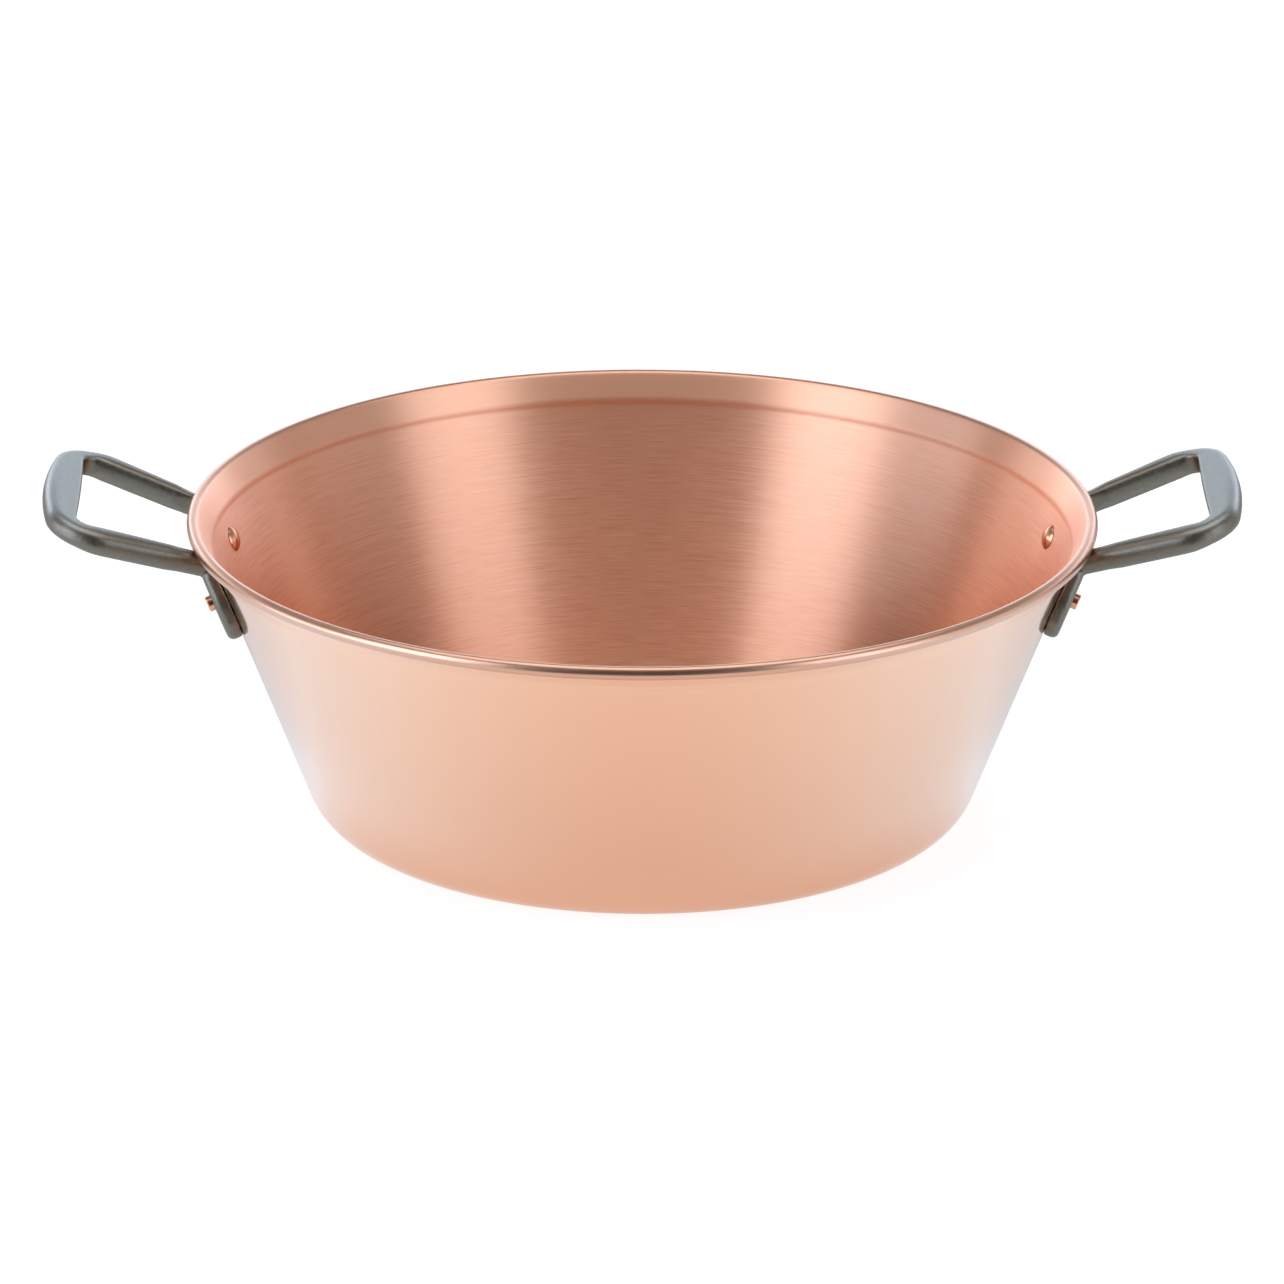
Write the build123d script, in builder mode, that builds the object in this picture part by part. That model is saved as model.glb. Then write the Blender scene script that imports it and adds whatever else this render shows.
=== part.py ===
# Copper jam pan with a rolled rim and two riveted cast loop handles, in millimetres.
# Origin: centre of the flat base, on the surface the pan stands on. +X runs through the right handle, +Z is up.
import os
from math import acos, asin, atan2, cos, degrees, hypot, radians, sin, tan
from build123d import *

# Pan, spun from one sheet
sheet = 1.2                 # thickness of the copper
rim_radius = 190.0          # outermost radius of the rolled bead
bead_height = 127.8         # height of the wire's centre
lip_width = 9.3             # from the crease's outer face out to the edge of the bead
lip_height = 10.8           # from the crease's lower edge up to the wire's centre
wall_flare = 45.1           # how far the wall leans out between the floor and the crease
corner_radius = 20.0        # outside radius between the base and the wall
crease_band = 2.0           # height of the upright band that makes the crease
crease_blend = 2.2          # radius that softens each side of the band
seam_gap = 0.25             # between the curled edge and the lip that it returns to

# Wire inside the bead
wire_radius = 1.5
wire_clearance = 0.05       # between the wire and the curl

# Rivets
shank_radius = 3.3
head_radius = 5.4
head_height = 2.2
stub_length = 2.4           # plain end that stands out of the foot
stub_chamfer = 0.4
rivet_drop = 21.6           # from the wire's centre down to where the axis leaves the wall's outer face
rivet_step = 3.0            # sideways from the edge of the finger gap at its root to that point
hole_clearance = 0.1        # between the shank and its holes
seat_clearance = 0.1        # between the wall and what lies on it
bead_clearance = 0.2        # between the bead and the arms under it

# Feet of a handle
foot_thickness = 6.0
foot_width = 18.0
foot_end = 18.0             # from the rivet down to the round end
foot_neck = 12.5            # from the rivet up into the arm
neck_width = 7.8
foot_splay = 8.0            # degrees that the feet spread apart downwards
foot_side_blend = 20.0      # bend of the foot's sides beside the rivet
foot_edge_radius = 2.6
foot_sink = 1.0             # how deep a foot reaches into the wall before it is hollowed to fit

# Loop of a handle, in its own plane, measured outwards from its root
root_inset = 0.5            # of the root behind the edge of the bead
root_drop = 5.8             # of the root below the wire's centre
rise = 19.0                 # degrees that the loop climbs outwards
loop_thickness = 9.0
arm_tail = 18.0             # from the root inwards, where the arm runs into its foot
opening_length = 48.8       # from the root to the grip bar
opening_half_root = 32.6    # half width of the finger gap at the root
opening_flare = 10.6        # growth of that half width up to the grip bar
opening_bow = 0.8           # how far the bar's inner line bulges into the gap
opening_radius = 6.0
arm_width = 8.4             # at the root
grip_width = 14.3           # of the bar, from the gap to its outermost point
grip_bow = 7.6              # how far the bar's outer line falls back at its ends
grip_side = 14.6            # how far that line runs past the gap, before its shoulders are rounded
shoulder_radius = 21.0
upper_edge_radius = 4.3     # soft outer edges of the casting
lower_edge_radius = 3.0
opening_edge_radius = 0.9   # crisp edges around the finger gap

overrun = 20.0              # extra length for cuts that pass right through

crease_radius = rim_radius - lip_width
crease_height = bead_height - lip_height
foot_radius = crease_radius - wall_flare
rivet_height = bead_height - rivet_drop
rivet_offset = opening_half_root + rivet_step
root_reach = rim_radius - root_inset
root_height = bead_height - root_drop
opening_half_grip = opening_half_root + opening_flare
grip_half = opening_half_grip + grip_side
grip_reach = opening_length + grip_width
lean = atan2(wall_flare, crease_height)
band_top = crease_height + crease_band
bore_radius = wire_radius + wire_clearance
bead_radius = bore_radius + sheet
bead_reach = rim_radius - bead_radius


def wall_radius(height, depth=0.0):
    """Radius of the wall at a height, this deep below its outer face."""
    return foot_radius + height * tan(lean) - depth / cos(lean)


def wall_height(radius, depth=0.0):
    """Height at which the wall reaches a radius, this deep below its outer face."""
    return (radius - foot_radius + depth / cos(lean)) / tan(lean)


def wall_plane(azimuth):
    """Plane on the wall's outer face at a rivet: x runs up the wall, z points out of the pan."""
    turn = radians(azimuth)
    reach = wall_radius(rivet_height)
    origin = (reach * cos(turn), reach * sin(turn), rivet_height)
    up = (sin(lean) * cos(turn), sin(lean) * sin(turn), cos(lean))
    out = (cos(lean) * cos(turn), cos(lean) * sin(turn), -sin(lean))
    return Plane(origin=origin, x_dir=up, z_dir=out)


rivet_azimuth = degrees(asin(rivet_offset / wall_radius(rivet_height)))
wall_planes = {
    "right_back": wall_plane(rivet_azimuth),
    "left_back": wall_plane(180 - rivet_azimuth),
    "left_front": wall_plane(180 + rivet_azimuth),
    "right_front": wall_plane(-rivet_azimuth),
}

# Pan: the sheet's middle line runs from the axis up to the lip and curls round the wire
middle = sheet / 2
crease_middle = crease_radius - middle
curl_radius = bead_radius - middle
curl_distance = hypot(bead_reach - crease_middle, bead_height - band_top)
lip_angle = atan2(bead_reach - crease_middle, bead_height - band_top) - asin(curl_radius / curl_distance)
curl_turn = 180 + degrees(acos((seam_gap - bore_radius) / bead_radius))
with BuildPart() as pan_body:
    with BuildSketch(Plane.XZ):
        with BuildLine():
            run = FilletPolyline(
                (0, middle),
                (wall_radius(middle, middle), middle),
                (crease_middle, wall_height(crease_middle, middle)),
                (crease_middle, band_top),
                (bead_reach - curl_radius * cos(lip_angle), bead_height + curl_radius * sin(lip_angle)),
                radius=[corner_radius - middle, crease_blend, crease_blend],
            )
            JernArc(run @ 1, run % 1, curl_radius, -curl_turn)
        trace(line_width=sheet)
    revolve(axis=Axis.Z)
    with BuildSketch(*wall_planes.values()):
        Circle(shank_radius + hole_clearance)
    extrude(amount=overrun, both=True, mode=Mode.SUBTRACT)
pan_body.part.label = "pan_body"

# Wire that stiffens the rim
with BuildPart() as rim_wire:
    with BuildSketch(Plane.XZ):
        with Locations((bead_reach, bead_height)):
            Circle(wire_radius)
    revolve(axis=Axis.Z)
rim_wire.part.label = "rim_wire"

# Space that the handles keep free: the pan with a clearance around it
with BuildPart() as pan_space:
    with BuildSketch(Plane.XZ):
        crease_reach = crease_radius + seat_clearance
        with BuildLine():
            Polyline(
                (0, -overrun),
                (wall_radius(-overrun, -seat_clearance), -overrun),
                (crease_reach, wall_height(crease_reach, -seat_clearance)),
                (crease_reach, band_top),
                (bead_reach, bead_height),
                (0, bead_height),
                close=True,
            )
        make_face()
        with Locations((bead_reach, bead_height)):
            Circle(bead_radius + bead_clearance)
    revolve(axis=Axis.Z)

# Foot of a handle: a tongue with a round end, before it is hollowed to fit the wall
foot_plane = Plane(wall_planes["right_back"].offset(-foot_sink) * Rotation(0, 0, foot_splay))
with BuildPart() as foot:
    half_foot = foot_width / 2
    half_neck = neck_width / 2
    with BuildSketch(foot_plane):
        with BuildLine():
            ThreePointArc((half_foot - foot_end, half_foot), (-foot_end, 0), (half_foot - foot_end, -half_foot))
            Polyline(
                (half_foot - foot_end, -half_foot),
                (0, -half_foot),
                (foot_neck, -half_neck),
                (foot_neck, half_neck),
                (0, half_foot),
                (half_foot - foot_end, half_foot),
            )
        make_face()
        fillet(vertices().group_by(Axis.X)[1], foot_side_blend)
    extrude(amount=foot_sink + foot_thickness)
    fillet(faces().sort_by(Axis(foot_plane.origin, foot_plane.z_dir))[-1].edges(), foot_edge_radius)

# Handles: a slab with rounded edges, opened for the fingers, on two feet
climb = radians(rise)
loop_plane = Plane(
    origin=(root_reach, 0, root_height),
    x_dir=(cos(climb), 0, sin(climb)),
    z_dir=(-sin(climb), 0, cos(climb)),
)
outwards = Axis(loop_plane.origin, loop_plane.x_dir)
through = Axis(loop_plane.origin, loop_plane.z_dir)
with BuildPart() as handle_right:
    bow_reach = grip_reach - grip_bow
    arm_half_root = opening_half_root + arm_width
    tail_half = arm_half_root - arm_tail * (grip_half - arm_half_root) / bow_reach
    with BuildSketch(loop_plane):
        with BuildLine():
            ThreePointArc((bow_reach, -grip_half), (grip_reach, 0), (bow_reach, grip_half))
            Polyline(
                (bow_reach, grip_half),
                (-arm_tail, tail_half),
                (-arm_tail, -tail_half),
                (bow_reach, -grip_half),
            )
        make_face()
        fillet(vertices().group_by(Axis.X)[-1], shoulder_radius)
    extrude(amount=loop_thickness / 2, both=True)
    fillet(faces().sort_by(through)[-1].edges().sort_by(outwards)[1:], upper_edge_radius)
    fillet(faces().sort_by(through)[0].edges().sort_by(outwards)[1:], lower_edge_radius)
    cut_tail = arm_tail + overrun
    cut_half = opening_half_root - cut_tail * (opening_half_grip - opening_half_root) / opening_length
    with BuildSketch(loop_plane):
        with BuildLine():
            ThreePointArc(
                (opening_length, -opening_half_grip),
                (opening_length - opening_bow, 0),
                (opening_length, opening_half_grip),
            )
            Polyline(
                (opening_length, opening_half_grip),
                (-cut_tail, cut_half),
                (-cut_tail, -cut_half),
                (opening_length, -opening_half_grip),
            )
        make_face()
        fillet(vertices().group_by(Axis.X)[-1], opening_radius)
    extrude(amount=overrun, both=True, mode=Mode.SUBTRACT)
    opening_edges = edges(Select.NEW).group_by(through)
    fillet(opening_edges[0] + opening_edges[-1], opening_edge_radius)
    add(foot.part)
    mirror(foot.part, about=Plane.XZ)
    add(pan_space.part, mode=Mode.SUBTRACT)
    with BuildSketch(wall_planes["right_back"], wall_planes["right_front"]):
        Circle(shank_radius + hole_clearance)
    extrude(amount=overrun, both=True, mode=Mode.SUBTRACT)
handle_right.part.label = "handle_right"

with BuildPart() as handle_left:
    mirror(handle_right.part, about=Plane.YZ)
handle_left.part.label = "handle_left"

# Rivets: a domed head inside the pan, a shank through the sheet and the foot, and a plain end outside
head_seat = sheet + seat_clearance + head_radius**2 / (2 * wall_radius(rivet_height))
dome_radius = (head_radius**2 + head_height**2) / (2 * head_height)
stub_end = foot_thickness + stub_length
rivets = []
for place, wall in wall_planes.items():
    with BuildPart() as rivet:
        with BuildSketch(Plane(wall.origin, x_dir=wall.x_dir, z_dir=wall.x_dir.cross(wall.z_dir))):
            with BuildLine():
                RadiusArc((0, -head_seat - head_height), (head_radius, -head_seat), -dome_radius)
                Polyline(
                    (head_radius, -head_seat),
                    (shank_radius, -head_seat),
                    (shank_radius, stub_end - stub_chamfer),
                    (shank_radius - stub_chamfer, stub_end),
                    (0, stub_end),
                    (0, -head_seat - head_height),
                )
            make_face()
        revolve(axis=Axis(wall.origin, wall.z_dir))
    rivet.part.label = f"rivet_{place}"
    rivets.append(rivet)

os.makedirs("parts", exist_ok=True)
for piece in (pan_body, rim_wire, handle_left, handle_right, *rivets):
    export_step(piece.part, f"parts/{piece.part.label}.step")
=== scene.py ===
import bpy
from math import acos, asin, atan2, cos, hypot, pi, radians, sin, tan
from mathutils import Matrix, Vector


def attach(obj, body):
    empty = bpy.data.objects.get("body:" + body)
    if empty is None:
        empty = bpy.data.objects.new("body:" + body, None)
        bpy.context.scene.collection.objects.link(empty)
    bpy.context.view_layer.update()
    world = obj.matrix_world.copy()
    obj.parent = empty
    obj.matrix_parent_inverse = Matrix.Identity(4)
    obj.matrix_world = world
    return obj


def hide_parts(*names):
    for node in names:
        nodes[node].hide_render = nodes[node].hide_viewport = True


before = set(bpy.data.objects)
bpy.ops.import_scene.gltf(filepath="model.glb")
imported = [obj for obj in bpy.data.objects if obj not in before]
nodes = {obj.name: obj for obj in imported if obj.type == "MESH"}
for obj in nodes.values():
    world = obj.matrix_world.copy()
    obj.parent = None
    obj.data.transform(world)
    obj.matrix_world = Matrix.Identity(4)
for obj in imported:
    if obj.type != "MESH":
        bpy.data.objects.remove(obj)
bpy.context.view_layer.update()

mm = 0.001                  # scene units are metres, and the pieces below are given in millimetres
weld = 0.01 * mm            # points closer than this become one


def toLinear(hexColour):
    # sRGB hex to the linear colour that a shader takes
    parts = [int(hexColour[i:i + 2], 16) / 255 for i in (1, 3, 5)]
    return [c / 12.92 if c <= 0.04045 else ((c + 0.055) / 1.055) ** 2.4 for c in parts] + [1.0]


def grey(share):
    # linear grey that gives back this share of the light
    return (share, share, share, 1)


def addNode(tree, kind, sockets=None, **settings):
    # one node with its settings. Into a socket goes a value, another socket, or a node's first live output
    node = tree.nodes.new(kind)
    for name, value in settings.items():
        setattr(node, name, value)
    for name, value in (sockets or {}).items():
        if isinstance(value, bpy.types.Node):
            value = next(output for output in value.outputs if output.enabled)
        if isinstance(value, bpy.types.NodeSocket):
            tree.links.new(value, node.inputs[name])
        else:
            node.inputs[name].default_value = value
    return node


def newFinish(name):
    # an empty material and its node tree
    finish = bpy.data.materials.new(name)
    finish.use_nodes = True
    finish.node_tree.nodes.clear()
    return finish, finish.node_tree


def blank():
    # object mode, with nothing selected
    if bpy.context.object and bpy.context.object.mode != "OBJECT":
        bpy.ops.object.mode_set(mode="OBJECT")
    bpy.ops.object.select_all(action="DESELECT")


def pick(piece):
    blank()
    piece.select_set(True)
    bpy.context.view_layer.objects.active = piece


def applyAll(piece):
    pick(piece)
    for modifier in list(piece.modifiers):
        bpy.ops.object.modifier_apply(modifier=modifier.name)


def turnTo(place, aim, axis="-Z"):
    # the turn that points this axis of an object from its place to its aim
    return (Vector(aim) - Vector(place)).to_track_quat(axis, "Y")


# Camera, where the photograph was taken
photo = {
    "place": (-0.0492, -3.7563, 1.4468),
    "azimuth": -90.75,      # where that is round the pan, in degrees from +X
    "aim": (0, 0, 0.07268),
    "roll": 0.13,           # degrees
    "lens": 267.4,          # mm, for a sensor of 36 mm
    "sensor": 36,
}

blank()
bpy.ops.object.camera_add(location=photo["place"])
camera = bpy.context.object
roll = Matrix.Rotation(radians(photo["roll"]), 3, "Z").to_quaternion()
camera.rotation_euler = (turnTo(photo["place"], photo["aim"]) @ roll).to_euler()
camera.data.lens = photo["lens"]
camera.data.sensor_width = photo["sensor"]
bpy.context.scene.camera = camera
bpy.context.scene.view_settings.view_transform = "Standard"
print("camera set")

# Studio, in metres: a white paper floor, a pale room, softboxes all round and a dark card behind the camera
studio = {
    "floorSize": 14.0,
    "paper": "#f4f4f4",
    "shownGlow": 0.88,      # the floor as the camera sees it, before the lamps add to it
    "shownPaper": 0.22,
    # painted light: to the metal the floor glows, warm in front and behind, with painted cool pools of light
    # on both sides
    "mirroredGlow": 0.47,   # the floor as the metal sees it
    "mirroredPaper": 0.58,
    # painted shade: the dark the metal sees on the floor behind the pan and past the table's front end
    "shadedPaper": "#161412",
    "frontTint": (1.02, 0.94, 0.88, 1),     # its glow is warm in front of the pan and behind it
    "sideTint": (1.14, 1.57, 1.9, 1),       # and cool on both sides
    # Distances are from the pan's axis. A heading is -1 straight to the camera and 1 straight away from it.
    "sideTintDistance": {"From Min": 0.125, "From Max": 0.17},
    "glowFadeHeading": {"From Min": -0.05, "From Max": 0.6, "To Min": 1.0, "To Max": 0.5},
    "frontEndDistance": {"From Min": 0.52, "From Max": 0.6},
    "frontEndHeading": {"From Min": -0.85, "From Max": -0.91},
    "rearShadeHeading": {"From Min": 0.5, "From Max": 0.95, "To Max": 0.6},
    # Brightness of the room, from level directions up to steep ones
    "room": {"From Min": 0.35, "From Max": 0.75, "To Min": 0.6, "To Max": 0.2},
    "middle": (0, 0, 0.08),     # what the lamps and the card face
}


def paperWithPaintedLight():
    # Matt white paper. The camera sees one even white. The metal mirrors a table of painted light: a painted
    # glow, warm in front, with painted cool pools of light on both sides, fading and with painted shade behind
    # the pan, and dark past the table's front end.
    finish, tree = newFinish("white paper floor with painted light")
    path = addNode(tree, "ShaderNodeLightPath").outputs
    place = addNode(tree, "ShaderNodeTexCoord").outputs["Object"]
    distance = addNode(tree, "ShaderNodeVectorMath", {0: place}, operation="LENGTH")
    heading = addNode(tree, "ShaderNodeVectorMath", {0: place}, operation="NORMALIZE")
    heading = addNode(tree, "ShaderNodeSeparateXYZ", {0: heading}).outputs

    away = addNode(
        tree, "ShaderNodeMapRange", {"Value": distance, **studio["sideTintDistance"]},
        interpolation_type="SMOOTHSTEP")
    fade = addNode(tree, "ShaderNodeMapRange", {"Value": heading["Y"], **studio["glowFadeHeading"]})
    sides = addNode(tree, "ShaderNodeMath", {0: heading["X"], 1: heading["X"]}, operation="MULTIPLY")
    for share in (away, fade):
        sides = addNode(tree, "ShaderNodeMath", {0: sides, 1: share}, operation="MULTIPLY")
    tint = addNode(
        tree, "ShaderNodeMix", {"Factor": sides, "A": studio["frontTint"], "B": studio["sideTint"]},
        data_type="RGBA")
    strength = addNode(tree, "ShaderNodeMath", {0: fade, 1: studio["mirroredGlow"]}, operation="MULTIPLY")
    # painted light: a glow painted into the floor for the metal, in place of light falling on it
    glow = addNode(tree, "ShaderNodeEmission", {"Color": tint, "Strength": strength})
    sheet = addNode(tree, "ShaderNodeBsdfDiffuse", {"Color": grey(studio["mirroredPaper"])})
    table = addNode(tree, "ShaderNodeAddShader", {0: glow, 1: sheet})

    beyond = addNode(
        tree, "ShaderNodeMapRange", {"Value": distance, **studio["frontEndDistance"]},
        interpolation_type="SMOOTHSTEP")
    ahead = addNode(
        tree, "ShaderNodeMapRange", {"Value": heading["Y"], **studio["frontEndHeading"]},
        interpolation_type="SMOOTHSTEP")
    front = addNode(tree, "ShaderNodeMath", {0: beyond, 1: ahead}, operation="MULTIPLY")
    rear = addNode(
        tree, "ShaderNodeMapRange", {"Value": heading["Y"], **studio["rearShadeHeading"]},
        interpolation_type="SMOOTHSTEP")
    shade = addNode(tree, "ShaderNodeMath", {0: front, 1: rear}, operation="MAXIMUM")
    # painted shade behind the pan and past the table's front end
    dark = addNode(tree, "ShaderNodeBsdfDiffuse", {"Color": toLinear(studio["shadedPaper"])})
    mirrored = addNode(tree, "ShaderNodeMixShader", {"Fac": shade, 1: table, 2: dark})

    paper = addNode(tree, "ShaderNodeBsdfDiffuse", {"Color": toLinear(studio["paper"])})
    reflected = addNode(
        tree, "ShaderNodeMath", {0: path["Is Glossy Ray"], 1: path["Is Transmission Ray"]},
        operation="ADD", use_clamp=True)
    unseen = addNode(tree, "ShaderNodeMixShader", {"Fac": reflected, 1: paper, 2: mirrored})
    glow = addNode(tree, "ShaderNodeEmission", {"Color": toLinear("#ffffff"), "Strength": studio["shownGlow"]})
    sheet = addNode(tree, "ShaderNodeBsdfDiffuse", {"Color": grey(studio["shownPaper"])})
    shown = addNode(tree, "ShaderNodeAddShader", {0: glow, 1: sheet})
    whole = addNode(tree, "ShaderNodeMixShader", {"Fac": path["Is Camera Ray"], 1: unseen, 2: shown})
    addNode(tree, "ShaderNodeOutputMaterial", {"Surface": whole})
    return finish


blank()
bpy.ops.mesh.primitive_plane_add(size=studio["floorSize"], location=(0, 0, 0))
floor = bpy.context.object
floor.name = "studioFloor"
floor.data.materials.append(paperWithPaintedLight())

# Room: plain white to the camera, and to all else brighter at its walls than at its ceiling
world = bpy.data.worlds.new("studio room")
bpy.context.scene.world = world
world.use_nodes = True
tree = world.node_tree
tree.nodes.clear()
path = addNode(tree, "ShaderNodeLightPath").outputs
direction = addNode(tree, "ShaderNodeTexCoord").outputs["Generated"]
steepness = addNode(tree, "ShaderNodeSeparateXYZ", {0: direction}).outputs["Z"]
room = addNode(tree, "ShaderNodeMapRange", {"Value": steepness, **studio["room"]})
level = addNode(tree, "ShaderNodeMapRange", {"Value": path["Is Camera Ray"], "To Min": room, "To Max": 1.0})
sky = addNode(tree, "ShaderNodeBackground", {"Color": toLinear("#ffffff"), "Strength": level})
addNode(tree, "ShaderNodeOutputWorld", {"Surface": sky})


def standAt(azimuth, elevation, distance):
    # a place in the studio. The azimuth is counted from the camera's side, positive to the right
    turn = radians(azimuth + photo["azimuth"])
    up = radians(elevation)
    return Vector((cos(turn) * cos(up), sin(turn) * cos(up), sin(up))) * distance


# Softboxes: place, aim, width, height, brightness whatever the size, colour
softboxes = {
    "softbox left": (standAt(-57, 22, 2.3), studio["middle"], 1.3, 1.9, 3.1, "#d4e8ff"),
    "softbox right": (standAt(55, 22, 2.3), studio["middle"], 1.25, 1.9, 2.0, "#d8eaff"),
    "softbox over": ((0, 0.1, 1.4), (0, 0.1, 0), 1.6, 1.1, 1.5, "#ffffff"),
    "back wall": (standAt(180, 12, 3.0), studio["middle"], 5.0, 1.3, 1.35, "#dcebff"),
    "side left": (standAt(-88, 12, 2.5), studio["middle"], 1.3, 0.9, 2.6, "#d2e6ff"),
    "side right": (standAt(92, 14, 2.5), studio["middle"], 1.1, 0.9, 0.5, "#ecf3ff"),
    "wall left": (standAt(-138, 14, 2.6), studio["middle"], 1.7, 1.2, 1.1, "#dcebff"),
    "wall right": (standAt(138, 14, 2.6), studio["middle"], 1.7, 1.2, 0.7, "#cde2ff"),
}
for name, (place, aim, width, height, brightness, colour) in softboxes.items():
    blank()
    bpy.ops.object.light_add(type="AREA", location=place)
    box = bpy.context.object
    box.name = name
    box.data.shape = "RECTANGLE"
    box.data.size = width
    box.data.size_y = height
    box.data.energy = brightness * pi * width * height
    box.data.color = toLinear(colour)[:3]
    box.rotation_euler = turnTo(place, aim).to_euler()
    box.visible_camera = False

# Card: dull grey felt, which darkens what the near side mirrors
frontCard = {
    "place": standAt(0, 26, 4.6),
    "width": 5.8,
    "height": 4.0,
    "grey": 0.12,
}

blank()
bpy.ops.mesh.primitive_plane_add(size=1, location=frontCard["place"])
card = bpy.context.object
card.name = "front card"
card.scale = (frontCard["width"], frontCard["height"], 1)
card.rotation_euler = turnTo(frontCard["place"], studio["middle"], "Z").to_euler()
bpy.ops.object.transform_apply(location=False, rotation=False, scale=True)
felt, tree = newFinish("front card felt")
cloth = addNode(tree, "ShaderNodeBsdfDiffuse", {"Color": grey(frontCard["grey"])})
addNode(tree, "ShaderNodeOutputMaterial", {"Surface": cloth})
card.data.materials.append(felt)
card.visible_camera = False
print("studio set")

# Finishes. Roughness runs from its smoothest to its roughest spots with the values of a noise pattern.
noiseRange = {"From Min": 0.3, "From Max": 0.7}     # nearly all of those values lie in here
relief = {"Strength": 0.15, "Distance": 0.1 * mm}   # how far marks stand in a surface


def aroundPan(tree, look):
    # coordinates that follow the pan round its axis, for the marks of spinning and brushing: one unit from
    # line to line along the profile, and a circle of the given radius for the way round
    place = addNode(tree, "ShaderNodeTexCoord").outputs["Object"]
    flat = addNode(tree, "ShaderNodeVectorMath", {0: place, 1: (1, 1, 0)}, operation="MULTIPLY")
    radius = addNode(tree, "ShaderNodeVectorMath", {0: flat}, operation="LENGTH")
    heading = addNode(tree, "ShaderNodeVectorMath", {0: flat}, operation="NORMALIZE")
    height = addNode(tree, "ShaderNodeSeparateXYZ", {0: place}).outputs["Z"]
    run = addNode(tree, "ShaderNodeMath", {0: radius, 1: height}, operation="ADD")
    lines = addNode(tree, "ShaderNodeMath", {0: run, 1: look["linesPerMm"] / mm}, operation="MULTIPLY")
    stack = addNode(tree, "ShaderNodeCombineXYZ", {"Z": lines})
    circle = addNode(tree, "ShaderNodeVectorMath", {0: heading, "Scale": look["circle"]}, operation="SCALE")
    return addNode(tree, "ShaderNodeVectorMath", {0: circle, 1: stack}, operation="ADD")


# Inside: copper brushed round and round. Light smears up and down the wall, across fine rings.
brushed = {
    "copper": "#fdcaad",
    "scratches": "#eba988",
    "scratchRange": {"From Min": 0.35, "From Max": 0.6},    # of the rings, from scratches to plain copper
    "smoothest": 0.35,
    "roughest": 0.49,
    "smear": {"Anisotropic": 0.95, "Anisotropic Rotation": 0.25},   # light spreads across the rings
    "coat": {"Coat Weight": 0.2, "Coat Roughness": 0.4},            # and keeps a little of its plain shine
    "linesPerMm": 3.0,      # real brush lines, 0.1 mm apart, wouldn't show, so they are drawn 0.3 mm apart
    "circle": 9.0,
    # heights at which the rings fade towards the lip, and the roughness lessens towards the floor
    "calmHeight": {"From Min": 110 * mm, "From Max": 119 * mm, "To Min": 1.0, "To Max": 0.25},
    "floorHeight": {"From Min": 7.5 * mm, "From Max": 12.5 * mm, "To Min": 0.7, "To Max": 1.0},
}


def brushedCopper():
    finish, tree = newFinish("brushed copper interior")
    place = addNode(tree, "ShaderNodeTexCoord").outputs["Object"]
    height = addNode(tree, "ShaderNodeSeparateXYZ", {0: place}).outputs["Z"]
    rings = addNode(tree, "ShaderNodeTexNoise", {
        "Vector": aroundPan(tree, brushed), "Scale": 1.0, "Detail": 4.0, "Roughness": 0.65})
    calm = addNode(tree, "ShaderNodeMapRange", {"Value": height, **brushed["calmHeight"]})
    rings = addNode(tree, "ShaderNodeMix", {"Factor": calm, "A": 0.5, "B": rings}, data_type="FLOAT")
    marks = addNode(tree, "ShaderNodeMapRange", {"Value": rings, **brushed["scratchRange"]})
    colour = addNode(
        tree, "ShaderNodeMix",
        {"Factor": marks, "A": toLinear(brushed["scratches"]), "B": toLinear(brushed["copper"])},
        data_type="RGBA")
    rough = addNode(tree, "ShaderNodeMapRange", {
        "Value": rings, **noiseRange, "To Min": brushed["smoothest"], "To Max": brushed["roughest"]})
    smoother = addNode(tree, "ShaderNodeMapRange", {"Value": height, **brushed["floorHeight"]})
    rough = addNode(tree, "ShaderNodeMath", {0: rough, 1: smoother}, operation="MULTIPLY")
    bump = addNode(tree, "ShaderNodeBump", {"Height": rings, **relief})
    tangent = addNode(tree, "ShaderNodeTangent", direction_type="RADIAL", axis="Z")
    metal = addNode(tree, "ShaderNodeBsdfPrincipled", {
        "Base Color": colour, "Metallic": 1.0, "Roughness": rough, "Normal": bump, "Tangent": tangent,
        **brushed["smear"], **brushed["coat"]})
    addNode(tree, "ShaderNodeOutputMaterial", {"Surface": metal})
    return finish


# Outside: spun copper with a satin polish. Soft broad reflections, and rings so faint that few show.
satin = {
    "name": "satin copper outside",
    "metal": "#f3c0a2",
    "smoothest": 0.08,
    "roughest": 0.12,
    "coat": {"Coat Weight": 0.35, "Coat Roughness": 0.15},
    "linesPerMm": 0.35,     # the spinning tool's marks, about 3 mm apart
    "circle": 3.0,
}

# Bead: the rolled edge, polished with a cloth. A soft even line of light along the rim.
bead = {
    "name": "polished copper bead",
    # painted shade: the bead's copper is painted darker than the outside's, for the dark line along the rim
    "metal": "#dcaa91",
    "smoothest": 0.27,
    "roughest": 0.35,
    "coat": {"Coat Weight": 0.2, "Coat Roughness": 0.35},
    "linesPerMm": 1.5,      # polishing lines, drawn 0.7 mm apart instead of 0.1 mm, which wouldn't show
    "circle": 8.0,
}

# Wire: steel drawn through a die, grey and lined along its length. It is closed up in the bead.
steel = {
    "name": "drawn steel wire",
    "metal": "#9c9a97",
    "smoothest": 0.3,
    "roughest": 0.42,
    "coat": {},
    "linesPerMm": 6.0,
    "circle": 4.0,
}


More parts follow.
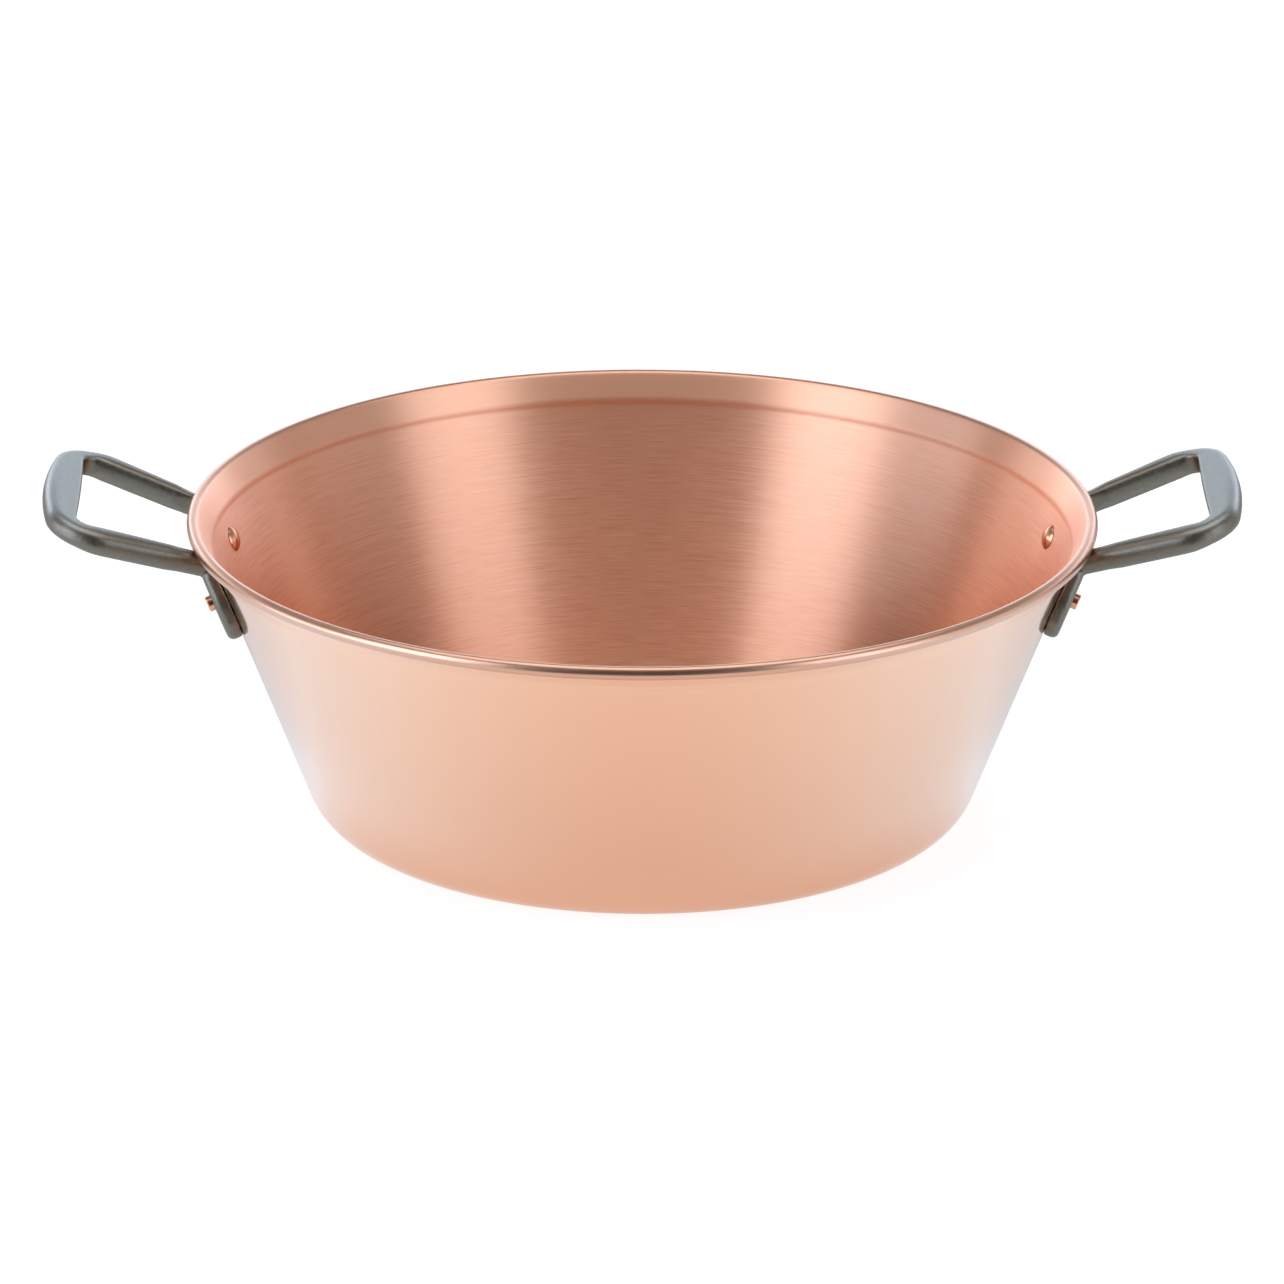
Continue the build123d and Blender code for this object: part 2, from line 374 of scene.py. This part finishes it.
def ringedMetal(look):
    # metal with rings in its shine only, none in its colour
    finish, tree = newFinish(look["name"])
    rings = addNode(tree, "ShaderNodeTexNoise", {
        "Vector": aroundPan(tree, look), "Scale": 1.0, "Detail": 3.0, "Roughness": 0.5})
    rough = addNode(tree, "ShaderNodeMapRange", {
        "Value": rings, **noiseRange, "To Min": look["smoothest"], "To Max": look["roughest"]})
    metal = addNode(tree, "ShaderNodeBsdfPrincipled", {
        "Base Color": toLinear(look["metal"]), "Metallic": 1.0, "Roughness": rough, **look["coat"]})
    addNode(tree, "ShaderNodeOutputMaterial", {"Surface": metal})
    return finish


# Rivets: drawn copper, set with a hammer. Brighter and redder than the pan, with shallow dents.
hammered = {
    "copper": "#e2a182",
    "smoothest": 0.15,
    "roughest": 0.28,
    "dentsPerMm": 0.7,      # dents about 1.4 mm wide
}


def hammeredCopper():
    finish, tree = newFinish("set copper rivets")
    place = addNode(tree, "ShaderNodeTexCoord").outputs["Object"]
    dents = addNode(tree, "ShaderNodeTexNoise", {
        "Vector": place, "Scale": hammered["dentsPerMm"] / mm, "Detail": 2.0})
    rough = addNode(tree, "ShaderNodeMapRange", {
        "Value": dents, **noiseRange, "To Min": hammered["smoothest"], "To Max": hammered["roughest"]})
    bump = addNode(tree, "ShaderNodeBump", {"Height": dents, **relief})
    metal = addNode(tree, "ShaderNodeBsdfPrincipled", {
        "Base Color": toLinear(hammered["copper"]), "Metallic": 1.0, "Roughness": rough, "Normal": bump})
    addNode(tree, "ShaderNodeOutputMaterial", {"Surface": metal})
    return finish


# Handles: cast iron, tumbled and oiled. Mottled, with a dull shine, and lighter on the grip's upward faces:
# worn where a hand holds it, and a painted highlight where it faces up.
iron = {
    "plain": "#7f766a",
    "wearAndSheen": "#9fa3a1",
    "wornReach": {"From Min": 215 * mm, "From Max": 240 * mm},  # from the middle of the pan, out over the grip
    "sheenFacing": {"From Min": 0.55, "From Max": 0.92},         # painted highlight on faces that look up, where 1 faces straight up
    "darkSpots": {"From Min": 0.32, "From Max": 0.68, "To Min": 0.8, "To Max": 1.0},
    "smoothest": 0.3,
    "roughest": 0.5,
    "spotsPerMm": 1.1,      # spots left by the sand and the tumbling, about 0.9 mm wide
    "grainsPerMm": 2.2,     # grains of the cast skin, drawn 0.45 mm wide because the real 0.2 mm wouldn't show
}


def castIron():
    finish, tree = newFinish("tumbled cast iron")
    place = addNode(tree, "ShaderNodeTexCoord").outputs["Object"]
    mottle = addNode(tree, "ShaderNodeTexNoise", {
        "Vector": place, "Scale": iron["spotsPerMm"] / mm, "Detail": 4.0, "Roughness": 0.6})
    grain = addNode(tree, "ShaderNodeTexNoise", {
        "Vector": place, "Scale": iron["grainsPerMm"] / mm, "Detail": 3.0, "Roughness": 0.6})
    out = addNode(tree, "ShaderNodeSeparateXYZ", {0: place}).outputs["X"]
    out = addNode(tree, "ShaderNodeMath", {0: out}, operation="ABSOLUTE")
    held = addNode(
        tree, "ShaderNodeMapRange", {"Value": out, **iron["wornReach"]}, interpolation_type="SMOOTHSTEP")
    normal = addNode(tree, "ShaderNodeTexCoord").outputs["Normal"]
    facing = addNode(tree, "ShaderNodeSeparateXYZ", {0: normal}).outputs["Z"]
    facing = addNode(
        tree, "ShaderNodeMapRange", {"Value": facing, **iron["sheenFacing"]}, interpolation_type="SMOOTHSTEP")
    # worn on the grip, and a painted highlight on its upward faces
    wearAndSheen = addNode(tree, "ShaderNodeMath", {0: held, 1: facing}, operation="MULTIPLY")
    colour = addNode(
        tree, "ShaderNodeMix", {"Factor": wearAndSheen, "A": toLinear(iron["plain"]), "B": toLinear(iron["wearAndSheen"])},
        data_type="RGBA")
    spots = addNode(tree, "ShaderNodeMapRange", {"Value": mottle, **iron["darkSpots"]})
    colour = addNode(tree, "ShaderNodeVectorMath", {0: colour, "Scale": spots}, operation="SCALE")
    rough = addNode(tree, "ShaderNodeMapRange", {
        "Value": grain, **noiseRange, "To Min": iron["smoothest"], "To Max": iron["roughest"]})
    skin = addNode(tree, "ShaderNodeMath", {0: mottle, 1: grain}, operation="ADD")
    bump = addNode(tree, "ShaderNodeBump", {"Height": skin, **relief})
    metal = addNode(tree, "ShaderNodeBsdfPrincipled", {
        "Base Color": colour, "Metallic": 1.0, "Roughness": rough, "Normal": bump})
    addNode(tree, "ShaderNodeOutputMaterial", {"Surface": metal})
    return finish


insideFinish = brushedCopper()
outsideFinish = ringedMetal(satin)
beadFinish = ringedMetal(bead)
rivetFinish = hammeredCopper()
ironFinish = castIron()
nodes["rim_wire"].data.materials.clear()
nodes["rim_wire"].data.materials.append(ringedMetal(steel))
print("finishes made")


def spinLine(line, steps):
    # a line of (radius, height) points, drawn by extruding its first point and then spun round the axis
    blank()
    bpy.ops.mesh.primitive_plane_add(size=mm, location=(0, 0, 0))
    piece = bpy.context.object
    bpy.ops.object.mode_set(mode="EDIT")
    bpy.ops.mesh.select_all(action="SELECT")
    bpy.ops.mesh.merge(type="CENTER")
    bpy.ops.transform.translate(value=(line[0].x * mm, 0, line[0].y * mm))
    for last, point in zip(line, line[1:]):
        step = (point - last) * mm
        bpy.ops.mesh.extrude_region_move(TRANSFORM_OT_translate={"value": (step.x, 0, step.y)})
    bpy.ops.mesh.select_all(action="SELECT")
    bpy.ops.mesh.spin(steps=steps, angle=2 * pi, center=(0, 0, 0), axis=(0, 0, 1))
    bpy.ops.mesh.select_all(action="SELECT")
    bpy.ops.mesh.remove_doubles(threshold=weld)
    bpy.ops.mesh.normals_make_consistent(inside=False)
    bpy.ops.object.mode_set(mode="OBJECT")
    return piece


# Pan: the middle line of the sheet is drawn and spun, then given its thickness
pan = {
    "sheet": 1.2,
    "footRadius": 135.6,    # where the wall's outer line would meet the ground
    "cornerRadius": 19.4,   # this and the crease, the blends and the curl are on the sheet's middle line
    "creaseRadius": 180.1,
    "creaseHeight": 117.0,  # of its lower edge
    "creaseTop": 119.6,
    "wallBlend": 4.2,       # bend from the wall into the crease
    "lipBlend": 3.8,        # bend from the crease into the lip
    "beadReach": 187.23,    # centre of the bead, from the axis
    "beadHeight": 127.8,
    "curlRadius": 2.15,
    "beadRadius": 2.75,     # outside of the curl
    "boreRadius": 1.55,     # inside of the curl, round the wire
    "seamGap": 0.25,        # between the curled edge and the lip
    "floorRings": (0, 15, 40, 70, 100),
    "cornerSteps": 14,
    "wallSteps": 8,
    "blendSteps": 8,
    "lipSteps": 4,
    "curlSteps": 30,
    "spinSteps": 256,
    "beadZone": 3.2,        # how far the bead's polish and its painted shade reach, from its centre
    "beadFacing": 0.8,      # on its inner half it reaches only faces that look up this much (1 is straight)
    "insideAbove": 5,       # faces that look to the axis are inside from this height up
    "insideBelow": 30,      # faces that look up are inside from this height down
}
lean = atan2(pan["creaseRadius"] + pan["sheet"] / 2 - pan["footRadius"], pan["creaseHeight"])    # of the wall
beadCentre = Vector((pan["beadReach"], pan["beadHeight"]))


def arc(centre, start, sweep, steps):
    # points of an arc, from a start that is counted from its centre
    return [centre + Matrix.Rotation(-sweep * i / steps, 2) @ start for i in range(steps + 1)]


def roundedCorner(before, corner, after, radius, steps):
    # points of the arc that rounds a corner of the profile
    back = (before - corner).normalized()
    on = (after - corner).normalized()
    half = back.angle(on) / 2
    centre = corner + (back + on).normalized() * (radius / sin(half))
    start = corner + back * (radius / tan(half)) - centre
    end = corner + on * (radius / tan(half)) - centre
    return arc(centre, start, start.angle_signed(end), steps)


def between(start, end, steps):
    # points that divide a straight stretch, without its ends
    return [start.lerp(end, i / steps) for i in range(1, steps)]


def panProfile():
    # from the axis out along the floor, up the wall, over the crease, up the lip and round the wire
    middle = pan["sheet"] / 2
    foot = pan["footRadius"] + middle * tan(lean) - middle / cos(lean)
    creaseLow = (pan["creaseRadius"] - foot) / tan(lean) + middle
    out = pan["beadReach"] - pan["creaseRadius"]
    up = pan["beadHeight"] - pan["creaseTop"]
    lip = atan2(out, up) - asin(pan["curlRadius"] / hypot(out, up))
    curlOut = pan["beadReach"] - pan["curlRadius"] * cos(lip)
    curlUp = pan["beadHeight"] + pan["curlRadius"] * sin(lip)

    floorStart = Vector((0, middle))
    floorEnd = Vector((foot, middle))
    wallEnd = Vector((pan["creaseRadius"], creaseLow))
    lipStart = Vector((pan["creaseRadius"], pan["creaseTop"]))
    curlStart = Vector((curlOut, curlUp))
    crease = roundedCorner(floorEnd, wallEnd, lipStart, pan["wallBlend"], pan["blendSteps"])
    line = [Vector((radius, middle)) for radius in pan["floorRings"]]
    line += roundedCorner(floorStart, floorEnd, wallEnd, pan["cornerRadius"], pan["cornerSteps"])
    line += between(line[-1], crease[0], pan["wallSteps"])
    line += crease
    line += roundedCorner(wallEnd, lipStart, curlStart, pan["lipBlend"], pan["blendSteps"])
    line += between(line[-1], curlStart, pan["lipSteps"])
    turn = pi + acos((pan["seamGap"] - pan["boreRadius"]) / pan["beadRadius"])
    line += arc(beadCentre, curlStart - beadCentre, turn, pan["curlSteps"])
    return line


copperPan = spinLine(panProfile(), pan["spinSteps"])
copperPan.name = "copperPan"
wall = copperPan.modifiers.new("sheet", "SOLIDIFY")
wall.thickness = pan["sheet"] * mm
wall.offset = 0
wall.use_even_offset = True
applyAll(copperPan)
bpy.ops.object.shade_smooth()
for finish in (insideFinish, outsideFinish, beadFinish):
    copperPan.data.materials.append(finish)
for face in copperPan.data.polygons:
    spot = Vector((hypot(face.center.x, face.center.y), face.center.z)) / mm
    outward = face.normal.x * face.center.x + face.normal.y * face.center.y
    polished = spot.x > beadCentre.x or face.normal.z > pan["beadFacing"]
    if (spot - beadCentre).length < pan["beadZone"] and polished:
        face.material_index = 2
    elif (outward < 0 and spot.y > pan["insideAbove"]) or (face.normal.z > 0 and spot.y < pan["insideBelow"]):
        face.material_index = 0
    else:
        face.material_index = 1
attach(copperPan, "root")
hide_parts("pan_body")
print("pan spun")

# Handles: the castings, softened where their forms meet, with arms rounder than the rest
casting = {
    "voxel": 0.8,
    "smoothing": 0.5,
    "softening": 4,         # rounds over the whole casting
    "armSoftening": 36,     # rounds over the arms
    "rootReach": 189.5,     # where the arms come out from under the bead
    "rootHeight": 122,
    "rise": 19,             # degrees that the loop climbs outwards
    "armStart": 2,          # from the root, out along the loop
    "armEnd": 46,
    "fadeIn": 6,            # lengths over which the arms' softening comes in and goes out
    "fadeOut": 7,
    "fillOut": 0.65,        # gives the rounded arms their width back
}


def castHandle(name, nodeName):
    piece = bpy.data.objects.new(name, nodes[nodeName].data.copy())
    bpy.context.collection.objects.link(piece)
    pick(piece)
    bpy.ops.object.mode_set(mode="EDIT")
    bpy.ops.mesh.select_all(action="SELECT")
    bpy.ops.mesh.remove_doubles(threshold=weld)
    bpy.ops.object.mode_set(mode="OBJECT")
    skin = piece.modifiers.new("skin", "REMESH")
    skin.mode = "VOXEL"
    skin.voxel_size = casting["voxel"] * mm
    softer = piece.modifiers.new("softening", "SMOOTH")
    softer.factor = casting["smoothing"]
    softer.iterations = casting["softening"]
    applyAll(piece)
    arms = piece.vertex_groups.new(name="arms")
    rise = radians(casting["rise"])
    for vertex in piece.data.vertices:
        out = abs(vertex.co.x) / mm - casting["rootReach"]
        up = vertex.co.z / mm - casting["rootHeight"]
        along = out * cos(rise) + up * sin(rise)
        fadeIn = (along - casting["armStart"]) / casting["fadeIn"]
        fadeOut = (casting["armEnd"] - along) / casting["fadeOut"]
        arms.add([vertex.index], max(0, min(1, fadeOut, fadeIn)), "REPLACE")
    rounder = piece.modifiers.new("rounder arms", "SMOOTH")
    rounder.factor = casting["smoothing"]
    rounder.iterations = casting["armSoftening"]
    rounder.vertex_group = "arms"
    fuller = piece.modifiers.new("fuller arms", "DISPLACE")
    fuller.mid_level = 0
    fuller.strength = casting["fillOut"] * mm
    fuller.vertex_group = "arms"
    applyAll(piece)
    bpy.ops.object.shade_smooth()
    piece.data.materials.clear()
    piece.data.materials.append(ironFinish)
    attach(piece, "root")
    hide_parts(nodeName)


castHandle("ironHandleRight", "handle_right")
castHandle("ironHandleLeft", "handle_left")
print("handles cast")

# Rivets: turned once, then copied to their four places
rivet = {
    "shank": 3.3,
    "headRadius": 5.4,
    "headHeight": 2.2,
    "seat": 1.39,           # from the wall's outer face in to the underside of the head
    "stubEnd": 8.4,         # from the wall's outer face out to the plain end
    "chamfer": 0.4,
    "height": 106.2,        # where the rivet's axis leaves the wall's outer face
    "offset": 35.6,         # sideways from the middle of the handle
    "domeSteps": 12,
    "spinSteps": 48,
    "sharp": 30,            # degrees from which an edge stays sharp
}


def turnedRivet():
    # upright at the origin: the head points down, and the wall's outer face is at height 0
    dome = (rivet["headRadius"] ** 2 + rivet["headHeight"] ** 2) / (2 * rivet["headHeight"])
    rise = asin(rivet["headRadius"] / dome)
    top = -rivet["seat"] - rivet["headHeight"]
    angles = [rise * i / rivet["domeSteps"] for i in range(rivet["domeSteps"] + 1)]
    line = [Vector((dome * sin(angle), top + dome * (1 - cos(angle)))) for angle in angles]
    line += [
        Vector((rivet["shank"], -rivet["seat"])),
        Vector((rivet["shank"], rivet["stubEnd"] - rivet["chamfer"])),
        Vector((rivet["shank"] - rivet["chamfer"], rivet["stubEnd"])),
        Vector((0, rivet["stubEnd"])),
    ]
    piece = spinLine(line, rivet["spinSteps"])
    bpy.ops.object.shade_smooth_by_angle(angle=radians(rivet["sharp"]))
    piece.data.materials.append(rivetFinish)
    return piece


master = turnedRivet()
reach = pan["footRadius"] + rivet["height"] * tan(lean)
azimuth = asin(rivet["offset"] / reach)
turns = {"right_back": azimuth, "left_back": pi - azimuth, "left_front": pi + azimuth, "right_front": -azimuth}
for place, turn in turns.items():
    pick(master)
    bpy.ops.object.duplicate()
    piece = bpy.context.object
    piece.name = "rivet." + place.replace("_", "")
    out = Vector((cos(lean) * cos(turn), cos(lean) * sin(turn), -sin(lean)))
    side = Vector((-sin(turn), cos(turn), 0))
    turned = Matrix((side, out.cross(side), out)).transposed().to_4x4()
    seat = Vector((reach * cos(turn), reach * sin(turn), rivet["height"])) * mm
    piece.matrix_world = Matrix.Translation(seat) @ turned
    bpy.ops.object.transform_apply(location=True, rotation=True, scale=True)
    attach(piece, "root")
    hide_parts("rivet_" + place)
bpy.data.objects.remove(master)
print("rivets set")

blank()
